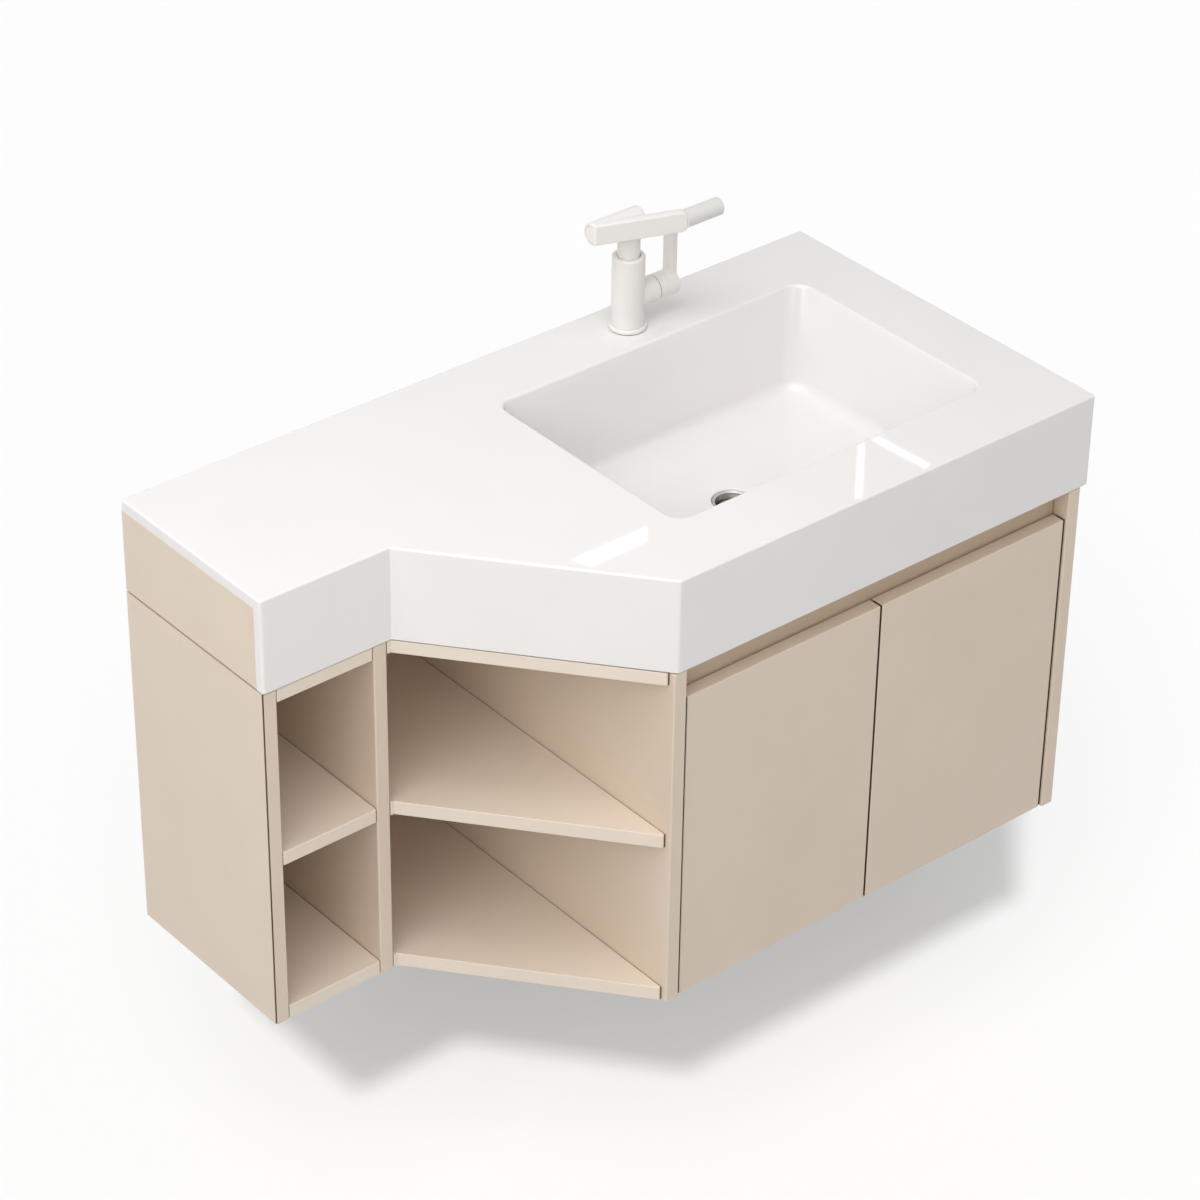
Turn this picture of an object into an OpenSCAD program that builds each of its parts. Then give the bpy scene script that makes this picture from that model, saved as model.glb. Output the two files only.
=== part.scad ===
// Wall-hung corner vanity unit: a solid-surface top with a moulded basin on a
// lacquered board carcass, with two open bays, a two-door cupboard and a mixer tap.
// Millimetres. X runs along the wall, Y points into the wall, Z is up. The origin
// lies on the wall face, at the centre of the four wall bolts.

/* [Carcass] */
// Thickness of every carcass board
board = 18; // [15:0.5:20]
// Height of the carcass
cab_h = 455; // [420:5:560]
// Clear width of the narrow open bay on the left
cubby_w = 130; // [110:5:200]
// Clear width of the slanted open bay
bay_w = 204; // [180:2:240]
// Clear width of the cupboard behind the doors
cupboard_w = 584; // [560:2:700]
// Depth of the unit over the doors
top_d = 508; // [500:2:560]
// Depth of the shallow left end
side_d = 262; // [240:2:290]
// Distance from the front of the top back to the carcass fronts
flush = 1.5; // [0.5:0.5:4]
// Width of the top past the right end panel
end_overhang = 10; // [2:1:20]
// Rise of the fixed shelves over the bottom boards
shelf_rise = 199; // [150:1:240]
// Thickness of the back panel of the open bays
back_t = 9; // [6:1:12]
// Height of the upper wall rail
upper_rail_h = 100; // [80:5:120]
// Height of the lower wall rail
lower_rail_h = 80; // [60:5:100]
// Distance between the wall bolts along the wall
bolt_span = 500; // [400:10:520]
// Diameter of the wall bolt holes
bolt_d = 10; // [8:0.5:12]
// Radius on the edges of the boards
board_r = 1; // [0.5:0.25:2]

/* [Doors] */
// Thickness of the doors
door_t = 18; // [16:0.5:20]
// Gap around and between the doors
door_gap = 2.5; // [2:0.5:4]
// Distance from the carcass fronts back to the door fronts
door_recess = 3; // [1:0.5:5]
// Finger gap above the doors
finger_gap = 40; // [30:1:60]
// Radius on the edges of the doors
door_r = 2; // [1:0.5:3]
// Height of the rail behind the finger gap
finger_rail_h = 60; // [50:1:90]
// Diameter of the hinge cups
cup_d = 35; // [26:1:40]
// Depth of the hinge cups
cup_depth = 11.5; // [10:0.5:13]
// Distance from the door edge to the middle of a hinge cup
cup_inset = 22.5; // [21:0.5:26]
// Distance from a door's end to its nearest hinge
hinge_end = 80; // [60:5:120]
// Thickness of the door bumpers
bumper_t = 1.2; // [1:0.1:1.2]

/* [Top and basin] */
// Height of the apron of the top
apron_h = 120; // [100:2:140]
// Thickness of the flat of the top
slab_t = 14; // [12:1:18]
// Thickness of the apron walls
apron_t = 12; // [10:1:15]
// Radius on the upright corners of the top
corner_r = 4; // [2:0.5:6]
// Start of the slanted front past the narrow bay's divider
slant_start = 5; // [3:0.5:8]
// End of the slanted front past the edge of the cupboard's divider
slant_end = 4; // [2:0.5:8]
// Width of the bowl at its rim
bowl_w = 463; // [420:1:500]
// Length of the bowl from back to front at its rim
bowl_l = 317; // [300:1:320]
// Distance from the wall to the bowl's rim
bowl_back = 97; // [96:1:102]
// Depth of the bowl at its walls
bowl_depth = 139; // [120:1:145]
// Fall of the bowl's floor to the waste
bowl_fall = 7; // [4:1:10]
// Radius of the bowl's upright corners at the rim
bowl_corner_r = 20; // [15:1:25]
// Radius between the bowl's walls and floor
bowl_floor_r = 25; // [18:1:30]
// Lean of the bowl's walls
bowl_draft = 8; // [4:1:12]
// Thickness of the bowl's walls
bowl_t = 11; // [9:1:13]

/* [Waste] */
// Distance from the wall to the middle of the waste
drain_back = 246; // [236:1:256]
// Diameter of the recess for the waste's lip
drain_d = 48.8; // [46:0.2:52]
// Diameter of the waste's barrel
barrel_d = 41; // [38:0.5:42]
// Length of the waste's barrel under its lip
barrel_l = 62; // [56:1:70]
// Diameter of the tail that the trap fits on
tail_d = 32; // [30:0.5:33]
// Length of the tail under the barrel
tail_l = 45; // [35:1:60]
// Diameter of the plug
plug_d = 33; // [30:0.5:34]
// Travel of the plug
plug_travel = 8; // [6:0.5:9]

/* [Tap] */
// Distance from the wall to the middle of the tap
tap_back = 52; // [51:1:56]
// Diameter of the tap's body
tap_d = 39.5; // [38:0.5:42]
// Height of the tap's body over the top
tap_h = 96; // [90:1:110]
// Diameter of the ring at the foot of the tap
foot_d = 46; // [44:0.5:50]
// Diameter of the spout's neck
neck_d = 27; // [24:0.5:28]
// Height of the middle of the spout over the top
spout_h = 141; // [138:1:150]
// Diameter of the spout's barrel
spout_d = 28; // [26:0.5:29]
// Length of the spout's barrel to the left of the neck
spout_tail = 57; // [50:1:62]
// Distance from the neck to the spout's joint along the barrel
spout_reach = 45; // [41:1:50]
// Distance from the neck to the spout's joint across the barrel
spout_side = 37; // [32:1:39]
// Diameter of the nozzle
nozzle_d = 22; // [19:0.5:22.5]
// Distance from the neck to the nozzle's end
nozzle_end = 105; // [96:1:120]
// Height of the middle of the lever's hub over the top
hub_h = 39; // [36:1:46]
// Diameter of the lever's hub
hub_d = 32; // [29:0.5:33]
// Width of the lever's stem
lever_w = 17; // [14:0.5:19]
// Height of the lever's end over the top
lever_top = 120; // [110:1:122]
// Diameter of the hole in the top for the tap
tap_hole_d = 35; // [33:0.5:36]
// Diameter of the tap's shank
shank_d = 32; // [28:0.5:32]
// Length of the shank under the top
shank_l = 34; // [30:1:45]
// Diameter of the hose inlets in the shank
inlet_d = 9; // [8:0.5:10]

/* [Hidden] */

$fn = 96;
lacquer = [0.80, 0.735, 0.65];
white = [0.94, 0.93, 0.92];
steel = [0.66, 0.65, 0.64];
rubber = [0.15, 0.15, 0.15];
brass = [0.72, 0.60, 0.35];
over = 1;
run = 0.05;
seat = 0.1;

// Heights
bolt_rise = cab_h - (upper_rail_h + lower_rail_h)/2;
cab_top = bolt_rise/2 + upper_rail_h/2;
cab_bottom = cab_top - cab_h;
top_z = cab_top + apron_h;
slab_z = top_z - slab_t;
shelf_z = cab_bottom + board + shelf_rise;

// Places along the wall, from the middle of the cupboard
door_x = -cupboard_w/2;
bay_div_x = door_x - board;
bay_x = bay_div_x - bay_w;
cubby_div_x = bay_x - board;
cubby_x = cubby_div_x - cubby_w;
left_x = cubby_x - board;
end_x = cupboard_w/2;
right_x = end_x + board;
top_end_x = right_x + end_overhang;

// Places out from the wall
rail_y = -board;
back_y = rail_y - back_t;
deep_y = -top_d + flush;
shallow_y = -side_d + flush;
door_y = deep_y + door_recess;
door_back_y = door_y + door_t;
bumper_gap = bumper_t + 0.3;
inner_front_y = door_back_y + bumper_gap;

// Doors
door_w = (cupboard_w - 3*door_gap)/2;
door_h = cab_h - finger_gap;
hinge_z = [cab_bottom + hinge_end, cab_bottom + door_h - hinge_end];
sides = [-1, 1];

// Plan of the top, anticlockwise from the left end's front corner
plan = [
  [left_x, -side_d],
  [bay_x + slant_start, -side_d],
  [bay_div_x + slant_end, -top_d],
  [top_end_x, -top_d],
  [top_end_x, 0],
  [left_x, 0]
];

// Basin
floor_z = top_z - bowl_depth;
drain_z = floor_z - bowl_fall;
drain_y = -drain_back;
lip_ledge = 4;
barrel_hole_d = barrel_d + 2;
seal_t = 1;
lip_t = 2;
barrel_top_z = drain_z - lip_ledge + seal_t;
barrel_bottom_z = barrel_top_z - barrel_l;
bowl_bottom_z = drain_z - bowl_t;
barrel_wall = 2;
nut_h = 9;
washer_t = 3;
washer_lip = 9;
plug_z = barrel_top_z - 10;
stem_d = 8;
guide_h = 12;
stem_l = guide_h + plug_travel + 2;

// Tap
tap_y = -tap_back;
spout_z = top_z + spout_h;
hub_z = top_z + hub_h;
gasket_t = 1;
foot_h = 4.5;
body_z = top_z + gasket_t + foot_h;
body_top_z = top_z + tap_h;
spigot_d = 22;
spigot_l = 36;
hub_fixed_x = 38;
collar_gap = 0.8;
collar_l = 10.5;
collar_x = hub_fixed_x + collar_gap;
cap_x = collar_x + collar_l;
cap_l = 18.5;
stem_t = 8;
cartridge_d = 22;
cartridge_x = 15;
spindle_d = 8;
joint_spigot_d = 8.5;
joint_spigot_l = 7;
joint_face = 5;
tube_d = 9;
facet_in = 6;
slant_angle = atan2(spout_side, spout_tail + spout_reach);

function unit(v) = v/norm(v);
function inner_normal(a, b) = let (e = unit(b - a)) [-e.y, e.x];
function wrap(points, i) = points[(i + len(points)) % len(points)];
// Corner i of an outline moved in by a distance, along its mitre
function mitre(points, i, gap) =
  let (n1 = inner_normal(wrap(points, i - 1), points[i]),
       n2 = inner_normal(points[i], wrap(points, i + 1)))
  points[i] + gap*(n1 + n2)/(1 + n1*n2);
function inset(points, gap) = [for (i = [0 : len(points) - 1]) mitre(points, i, gap)];
// Distance from a corner to where its rounding starts
function tangent_length(points, i, r) =
  let (e1 = unit(points[i] - wrap(points, i - 1)), e2 = unit(wrap(points, i + 1) - points[i]))
  r*sqrt((1 - e1*e2)/(1 + e1*e2));
function is_convex(points, i) =
  let (e1 = points[i] - wrap(points, i - 1), e2 = wrap(points, i + 1) - points[i])
  e1.x*e2.y - e1.y*e2.x > 0;

// An outline with its outward corners rounded
module rounded_outline(points, r) {
  count = len(points);
  polygon([
    for (i = [0 : count - 1])
      let (p = points[i], t = is_convex(points, i) ? tangent_length(points, i, r) : 0)
      for (end = [-1, 1])
        if (t > 0 || end > 0) p + t*unit(wrap(points, i + end) - p)*(t > 0 ? 1 : 0)
  ]);
  for (i = [0 : count - 1])
    if (is_convex(points, i)) translate(mitre(points, i, r)) circle(r);
}

module rounded_square(size, r) {
  rounded_outline([[0, 0], [size.x, 0], size, [0, size.y]], r);
}

// A board from its low corner, its edges along Z and along X rounded
module rounded_board(low, size, r) {
  translate(low) intersection() {
    linear_extrude(size.z) rounded_square([size.x, size.y], r);
    rotate([90, 0, 90]) linear_extrude(size.x) rounded_square([size.y, size.z], r);
  }
}

// An upright board across the wall, from the front to a given back
module upright(x, front_y, rear_y) {
  rounded_board([x, front_y, cab_bottom], [board, rear_y - front_y, cab_h], board_r);
}

// A level board between two uprights
module level_board(x, width, front_y, rear_y, z) {
  rounded_board([x, front_y, z], [width, rear_y - front_y, board], board_r);
}

// A level board that follows the slanted front
module slanted_board(z) {
  translate([0, 0, z]) linear_extrude(board) intersection() {
    polygon(inset(plan, flush));
    translate([bay_x, deep_y]) square([bay_w, back_y - deep_y]);
  }
}

module ring(outer_d, inner_d, h) {
  difference() {
    cylinder(d = outer_d, h = h);
    translate([0, 0, -over]) cylinder(d = inner_d, h = h + 2*over);
  }
}

// A disc with a rounded upper edge
module soft_disc(d, h, r) {
  rotate_extrude() {
    square([d/2 - r, h]);
    square([d/2, h - r]);
    translate([d/2 - r, h - r]) circle(r);
  }
}

// ---- Top ----

// Levels of the bowl from its rim down: height, step in and corner radius
function bowl_levels() = [
  [top_z + over, 0, bowl_corner_r],
  [top_z, 0, bowl_corner_r],
  for (a = [0 : 18 : 90])
    [floor_z + bowl_floor_r*(1 - sin(a)), bowl_draft + bowl_floor_r*(1 - cos(a)), bowl_corner_r + bowl_draft]
];

// The bowl's space, grown outwards and down by a wall
module bowl_form(wall, levels) {
  hull() {
    for (level = levels, sx = sides, sy = sides) {
      r = level[2];
      translate([
        sx*(bowl_w/2 - level[1] + wall - r),
        -bowl_back - bowl_l/2 + sy*(bowl_l/2 - level[1] + wall - r),
        level[0] - wall
      ]) cylinder(r = r, h = 0.02, $fn = 32);
    }
    translate([0, drain_y, drain_z - wall]) cylinder(d = drain_d + 4, h = 0.02, $fn = 32);
  }
}

// Walls under the front and the right end; the left end and the back are open
module apron_walls() {
  difference() {
    rounded_outline(plan, corner_r);
    polygon(inset(plan, apron_t));
    translate([left_x - over, -side_d + apron_t]) square([board + over, side_d]);
    translate([left_x - over, -2*apron_t]) square([top_end_x - apron_t - left_x + over, 3*apron_t]);
  }
}

module basin_top() {
  color(white) difference() {
    union() {
      translate([0, 0, slab_z]) linear_extrude(slab_t) rounded_outline(plan, corner_r);
      translate([0, 0, cab_top]) linear_extrude(apron_h - over) apron_walls();
      intersection() {
        bowl_form(bowl_t, bowl_levels());
        translate([-bowl_w, -top_d, cab_bottom]) cube([2*bowl_w, top_d, slab_z + over - cab_bottom]);
      }
    }
    bowl_form(0, bowl_levels());
    translate([0, drain_y, drain_z - lip_ledge]) cylinder(d = drain_d, h = lip_ledge + over);
    translate([0, drain_y, bowl_bottom_z - over]) cylinder(d = barrel_hole_d, h = bowl_t + over);
    translate([0, tap_y, slab_z - over]) cylinder(d = tap_hole_d, h = slab_t + 2*over);
  }
}

// ---- Carcass ----

module left_apron_panel() {
  color(lacquer) translate([left_x, -side_d + apron_t, cab_top])
    cube([board, side_d - apron_t, apron_h - slab_t]);
}

// The shadow groove runs down the outer face, just behind the front edge
module left_side_panel() {
  groove = 1.2;
  color(lacquer) difference() {
    upright(left_x, shallow_y, 0);
    translate([left_x - over, shallow_y + 2*groove, cab_bottom - over])
      cube([groove + over, groove, cab_h + 2*over]);
  }
}

module cubby_divider() {
  color(lacquer) upright(cubby_div_x, shallow_y, back_y);
}

module bay_divider() {
  color(lacquer) upright(bay_div_x, deep_y, rail_y);
}

module right_end_panel() {
  color(lacquer) upright(end_x, deep_y, 0);
}

module cubby_top() {
  color(lacquer) level_board(cubby_x, cubby_w, shallow_y, back_y, cab_top - board);
}

module cubby_shelf() {
  color(lacquer) level_board(cubby_x, cubby_w, shallow_y, back_y, shelf_z);
}

module cubby_bottom() {
  color(lacquer) level_board(cubby_x, cubby_w, shallow_y, back_y, cab_bottom);
}

module bay_top() {
  color(lacquer) slanted_board(cab_top - board);
}

module bay_shelf() {
  color(lacquer) slanted_board(shelf_z);
}

module bay_bottom() {
  color(lacquer) slanted_board(cab_bottom);
}

module cupboard_bottom() {
  color(lacquer) level_board(door_x, cupboard_w, inner_front_y, rail_y, cab_bottom);
}

module finger_rail() {
  color(lacquer) rounded_board(
    [door_x, inner_front_y, cab_top - finger_rail_h], [cupboard_w, board, finger_rail_h], board_r);
}

// Carries the back of the top, on the rail and the end panel
module top_rail() {
  color(lacquer) translate([cubby_x, rail_y, cab_top])
    cube([top_end_x - apron_t - cubby_x, board, apron_h - slab_t]);
}

// A rail against the wall, drilled for two wall bolts
module wall_rail(z, h) {
  difference() {
    translate([cubby_x, rail_y, z]) cube([end_x - cubby_x, board, h]);
    for (s = sides) translate([s*bolt_span/2, over, z + h/2]) rotate([90, 0, 0])
      cylinder(d = bolt_d, h = board + 2*over);
  }
}

module upper_rail() {
  color(lacquer) wall_rail(cab_top - upper_rail_h, upper_rail_h);
}

module lower_rail() {
  color(lacquer) wall_rail(cab_bottom, lower_rail_h);
}

module back_panel() {
  color(lacquer) translate([cubby_x, back_y, cab_bottom]) cube([bay_div_x - cubby_x, back_t, cab_h]);
}

// ---- Doors and hinges ----

// Outer edge of a door; side is -1 for the left door and 1 for the right one
function door_edge(side) = side*(cupboard_w/2 - door_gap);
function cup_x(side) = door_edge(side) - side*cup_inset;

module door(side) {
  low_x = side < 0 ? door_edge(side) : door_edge(side) - door_w;
  color(lacquer) difference() {
    rounded_board([low_x, door_y, cab_bottom], [door_w, door_t, door_h], door_r);
    for (z = hinge_z) translate([cup_x(side), door_back_y + over, z]) rotate([90, 0, 0])
      cylinder(d = cup_d, h = cup_depth + over);
  }
}

// Cups pressed into a door, each with its screw flange on the door's back
module hinge_cups(side) {
  flange_t = 1;
  flange_h = cup_d + 12;
  cup_wall = 1;
  color(steel) for (z = hinge_z) translate([cup_x(side), door_back_y, z]) rotate([90, 0, 0])
    difference() {
      union() {
        translate([0, 0, -flange_t]) cylinder(d = cup_d - 2*seat, h = flange_t + cup_depth - seat);
        translate([-cup_d/4, -flange_h/2, -flange_t]) cube([cup_d/2, flange_h, flange_t]);
        translate([0, 0, -flange_t]) cylinder(d = cup_d + 2, h = flange_t);
      }
      translate([0, 0, -flange_t - over])
        cylinder(d = cup_d - 4*cup_wall, h = flange_t + over + cup_depth - 2*cup_wall);
    }
}

arm_h = 16;
arm_t = 7;
arm_gap = 2.5;
plate_t = 4;
plate_l = 44;
plate_h = 40;
plate_start = 14;
arm_l = plate_start + plate_l + 4;

// Arms bolted over their plates, each with a nose that reaches behind its cup
module hinge_arms(side) {
  nose_y = door_back_y + arm_gap;
  nose_l = cup_inset + door_gap - plate_t;
  color(steel) for (z = hinge_z) translate([side*(end_x - plate_t), nose_y, z - arm_h/2])
    mirror([side > 0 ? 1 : 0, 0, 0]) difference() {
      union() {
        cube([arm_t, arm_l, arm_h]);
        cube([nose_l - 9, 9, arm_h]);
        translate([nose_l - 9, 4.5, 0]) cylinder(d = 9, h = arm_h);
      }
      translate([1.5, plate_start, 2]) cube([arm_t, plate_l - 8, arm_h - 4]);
    }
}

module hinge_plates() {
  color(steel) for (side = sides, z = hinge_z)
    translate([side*end_x - (side > 0 ? plate_t : 0), door_back_y + arm_gap + plate_start, z - plate_h/2])
      difference() {
        cube([plate_t, plate_l, plate_h]);
        for (s = sides) translate([-over, plate_l/2, plate_h/2 + s*0.4*plate_h]) rotate([0, 90, 0])
          cylinder(d = 4.5, h = plate_t + 2*over);
      }
}

// Clear pads on the rail and the bottom board, where the closed doors land
module door_bumpers() {
  pad_d = 8;
  color([0.85, 0.87, 0.88]) for (side = sides, z = [cab_bottom + board/2, cab_bottom + door_h - board/2])
    translate([side*(door_gap + 2*pad_d), inner_front_y, z]) rotate([90, 0, 0])
      soft_disc(pad_d, bumper_t, 0.5);
}

// ---- Waste ----

module waste_seal() {
  color(rubber) translate([0, drain_y, drain_z - lip_ledge]) ring(drain_d - 2, barrel_d + 0.6, seal_t);
}

// Lip, funnel and threaded barrel in one piece, with the plug's guide on three webs
module waste_body() {
  lip_r = drain_d/2 - 0.4;
  bore_r = barrel_d/2 - barrel_wall;
  color(steel) translate([0, drain_y, 0]) {
    rotate_extrude() polygon([
      [lip_r, barrel_top_z],
      [lip_r, barrel_top_z + lip_t - 0.6],
      [lip_r - 0.6, barrel_top_z + lip_t],
      [lip_r - 1.4, barrel_top_z + lip_t],
      [bore_r + 1.6, barrel_top_z + 0.5],
      [bore_r, barrel_top_z - 9],
      [bore_r, barrel_bottom_z],
      [barrel_d/2, barrel_bottom_z],
      [barrel_d/2, barrel_top_z]
    ]);
    translate([0, 0, plug_z - 0.3 - guide_h]) {
      ring(12, stem_d + 2*run, guide_h);
      for (turn = [0, 120, 240]) rotate(turn) translate([5, -1, 0]) cube([bore_r - 4.5, 2, guide_h - 2]);
    }
  }
}

module waste_washer() {
  color(rubber) translate([0, drain_y, bowl_bottom_z - washer_t])
    ring(barrel_d + 2*washer_lip, barrel_d + 0.4, washer_t);
}

module waste_nut() {
  color(steel) translate([0, drain_y, bowl_bottom_z - washer_t - nut_h]) difference() {
    union() {
      translate([0, 0, nut_h - 2]) cylinder(d = barrel_d + 16, h = 2);
      cylinder(d = barrel_d + 16, h = nut_h, $fn = 8);
    }
    translate([0, 0, -over]) cylinder(d = barrel_d + 2*run, h = nut_h + 2*over);
  }
}

// Union nut and tail that hang on the barrel's end
module waste_tail() {
  collar_h = 16;
  collar_wall = 4;
  color(steel) translate([0, drain_y, barrel_bottom_z]) rotate_extrude() polygon([
    [barrel_d/2 + run, 0],
    [barrel_d/2 + run, collar_h],
    [barrel_d/2 + collar_wall, collar_h],
    [barrel_d/2 + collar_wall, -2],
    [tail_d/2 + 3, -5],
    [tail_d/2, -5],
    [tail_d/2, -tail_l],
    [tail_d/2 - 1.5, -tail_l],
    [tail_d/2 - 1.5, 0]
  ]);
}

// Domed plug with the stem that slides in the guide
module waste_plug() {
  color(steel) translate([0, drain_y, plug_z]) {
    rotate_extrude() polygon([
      [0, -stem_l],
      [stem_d/2, -stem_l],
      [stem_d/2, 0],
      [plug_d/2 - 2, 0],
      [plug_d/2, 1.5],
      [plug_d/2, 3],
      [plug_d/2 - 1, 4],
      [plug_d/4, 5.2],
      [0, 5.6]
    ]);
  }
}

// ---- Tap ----

module on_tap(z) {
  translate([0, tap_y, z]) children();
}

// Places a shape on the hub's axis, Z turned to X, from a distance along it
module on_hub(x) {
  on_tap(hub_z) translate([x, 0, 0]) rotate([0, 90, 0]) children();
}

module tap_gasket() {
  color(rubber) on_tap(top_z) ring(foot_d - 2, shank_d + 1, gasket_t);
}

module tap_foot() {
  color(white) on_tap(top_z + gasket_t) difference() {
    soft_disc(foot_d, foot_h, 1.5);
    translate([0, 0, -over]) cylinder(d = shank_d + 0.4, h = foot_h + 2*over);
  }
}

module tap_body() {
  mouth_d = neck_d + 1.2;
  color(white) difference() {
    union() {
      on_tap(body_z) soft_disc(tap_d, body_top_z - body_z, 4.5);
      on_hub(0) soft_disc(hub_d, hub_fixed_x, 1);
    }
    on_tap(body_top_z - spigot_l - 2) cylinder(d = spigot_d + 2*run, h = spigot_l + 2 + over);
    on_tap(body_top_z - 3) cylinder(d = mouth_d, h = 3 + over);
    on_hub(cartridge_x) cylinder(d = cartridge_d + 2*seat, h = hub_fixed_x);
    on_tap(hub_z) cylinder(d = tube_d, h = body_top_z - spigot_l - hub_z);
    on_hub(0) cylinder(d = tube_d, h = cartridge_x + over);
  }
}

// Threaded brass shank through the top, with the two hose inlets
module tap_shank() {
  shank_z = slab_z - shank_l;
  color(brass) difference() {
    on_tap(shank_z) cylinder(d = shank_d, h = body_z - shank_z);
    for (s = sides) translate([s*shank_d/4.5, 0, 0]) on_tap(shank_z - over)
      cylinder(d = inlet_d, h = 14 + over);
  }
}

module tap_washer() {
  color(rubber) on_tap(slab_z - washer_t) ring(shank_d + 16, shank_d + 0.6, washer_t);
}

module tap_nut() {
  color(brass) on_tap(slab_z - washer_t - nut_h) difference() {
    cylinder(d = shank_d + 14, h = nut_h, $fn = 6);
    translate([0, 0, -over]) cylinder(d = shank_d + 2*run, h = nut_h + 2*over);
  }
}

// Ceramic-disc cartridge in the hub, with the spindle that the lever turns
module cartridge() {
  color([0.85, 0.85, 0.86]) {
    on_hub(cartridge_x + seat) cylinder(d = cartridge_d, h = hub_fixed_x - cartridge_x - 2);
    on_hub(hub_fixed_x - 3) cylinder(d = spindle_d, h = collar_gap + 3 + collar_l - 1);
  }
}

module lever_collar() {
  color(white) on_hub(collar_x) difference() {
    cylinder(d = hub_d, h = collar_l - 0.4);
    translate([0, 0, -over]) cylinder(d = spindle_d + 2*run, h = collar_l + 2*over);
  }
}

// Side view of the lever: a disc with an upright bar, joined by a fillet on each side
module lever_outline() {
  hub_r = hub_d/2;
  fillet_r = 6;
  fillet_x = lever_w/2 + fillet_r;
  fillet_y = sqrt(pow(hub_r + fillet_r, 2) - pow(fillet_x, 2));
  touch = hub_r/(hub_r + fillet_r);
  circle(hub_r);
  translate([-lever_w/2, 0]) square([lever_w, lever_top - hub_h]);
  for (s = sides) scale([s, 1]) difference() {
    polygon([[0, 0], [lever_w/2, fillet_y], [fillet_x, fillet_y], [touch*fillet_x, touch*fillet_y]]);
    translate([fillet_x, fillet_y]) circle(fillet_r);
  }
}

// Cap and upright stem in one casting, the stem flush with the cap's outer end
module lever() {
  color(white) {
    on_hub(cap_x - 0.4) cylinder(d = hub_d, h = cap_l + 0.4 - stem_t);
    on_tap(hub_z) translate([cap_x + cap_l - stem_t, 0, 0]) rotate([90, 0, 90])
      linear_extrude(stem_t) lever_outline();
  }
}

// Neck with the spigot that turns in the body
module spout_neck() {
  neck_top = spout_z - spout_d/2 + 6;
  color(white) difference() {
    union() {
      on_tap(body_top_z - 2.5) cylinder(d = neck_d, h = neck_top - body_top_z + 2.5);
      on_tap(body_top_z - spigot_l) cylinder(d = spigot_d, h = spigot_l);
    }
    on_tap(body_top_z - spigot_l - over) cylinder(d = tube_d, h = neck_top);
    for (step = [8, 20]) on_tap(body_top_z - spigot_l + step) ring(spigot_d + over, spigot_d - 4, 2);
  }
}

// Rubber rings in the spigot's grooves
module spout_seals() {
  color(rubber) for (step = [8, 20]) on_tap(body_top_z - spigot_l + step + 1)
    rotate_extrude() translate([spigot_d/2 - 0.95, 0]) circle(0.85, $fn = 24);
}

// Two round bars from one end: one along the wall, one slanted forward with a flat face
module spout_arm() {
  bar_l = norm([spout_tail + spout_reach, spout_side]);
  joint_d = spout_d - 1;
  color(white) on_tap(spout_z) difference() {
    union() {
      translate([-spout_tail, 0, 0]) rotate([0, 90, 0]) soft_disc(spout_d, spout_tail + spout_d/2 + 1, 2);
      translate([-spout_tail, 0, 0]) rotate(-slant_angle) {
        rotate([0, 90, 0]) cylinder(d = joint_d, h = bar_l);
        translate([bar_l, 0, 0]) sphere(d = joint_d);
      }
    }
    translate([-spout_tail, 0, 0]) rotate(-slant_angle)
      translate([-spout_d, -facet_in - spout_d, -spout_d]) cube([2*bar_l, spout_d, 2*spout_d]);
    translate([-spout_tail - spout_d, -spout_d, -spout_d]) cube([spout_d, 2*spout_d, 2*spout_d]);
    translate([-spout_tail - over, 0, 0]) rotate([0, 90, 0]) cylinder(d = spout_d - 7, h = 4 + over);
    translate([spout_reach + joint_face - joint_spigot_l, -spout_side, 0]) rotate([0, 90, 0])
      cylinder(d = joint_spigot_d + 2*run, h = joint_d);
    translate([spout_reach + joint_face, -spout_side, 0]) rotate([0, 90, 0])
      cylinder(d = joint_d, h = joint_d);
    on_neck_bore();
  }
}

module on_neck_bore() {
  translate([0, 0, -spout_d]) cylinder(d = neck_d + 2*seat, h = spout_d/2 + 6 + seat);
}

module spout_cap() {
  color(white) on_tap(spout_z) translate([-spout_tail + 0.6, 0, 0]) rotate([0, 90, 0])
    cylinder(d = spout_d - 7 - 2*seat, h = 3.2);
}

// Nozzle that rolls about its own length on a spigot in the arm
module nozzle() {
  face_x = spout_reach + joint_face + 0.3;
  outlet_x = nozzle_end - 11;
  color(white) on_tap(spout_z) translate([0, -spout_side, 0]) difference() {
    union() {
      translate([face_x, 0, 0]) rotate([0, 90, 0]) soft_disc(nozzle_d, nozzle_end - face_x, 1.5);
      translate([face_x - joint_spigot_l, 0, 0]) rotate([0, 90, 0])
        cylinder(d = joint_spigot_d, h = joint_spigot_l + over);
    }
    translate([face_x - joint_spigot_l - over, 0, 0]) rotate([0, 90, 0])
      cylinder(d = joint_spigot_d - 3, h = outlet_x - face_x + joint_spigot_l);
    translate([outlet_x, 0, -nozzle_d]) cylinder(d = 14, h = nozzle_d);
  }
}

// Perforated outlet insert, set into the underside of the nozzle
module aerator() {
  color([0.75, 0.75, 0.76]) on_tap(spout_z) translate([nozzle_end - 11, -spout_side, -nozzle_d/2 + 3])
    difference() {
      cylinder(d = 14 - 2*seat, h = 4);
      for (turn = [0 : 60 : 300]) rotate(turn) translate([4, 0, -over]) cylinder(d = 1.6, h = 4 + 2*over);
      translate([0, 0, -over]) cylinder(d = 1.6, h = 4 + 2*over);
    }
}

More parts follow.
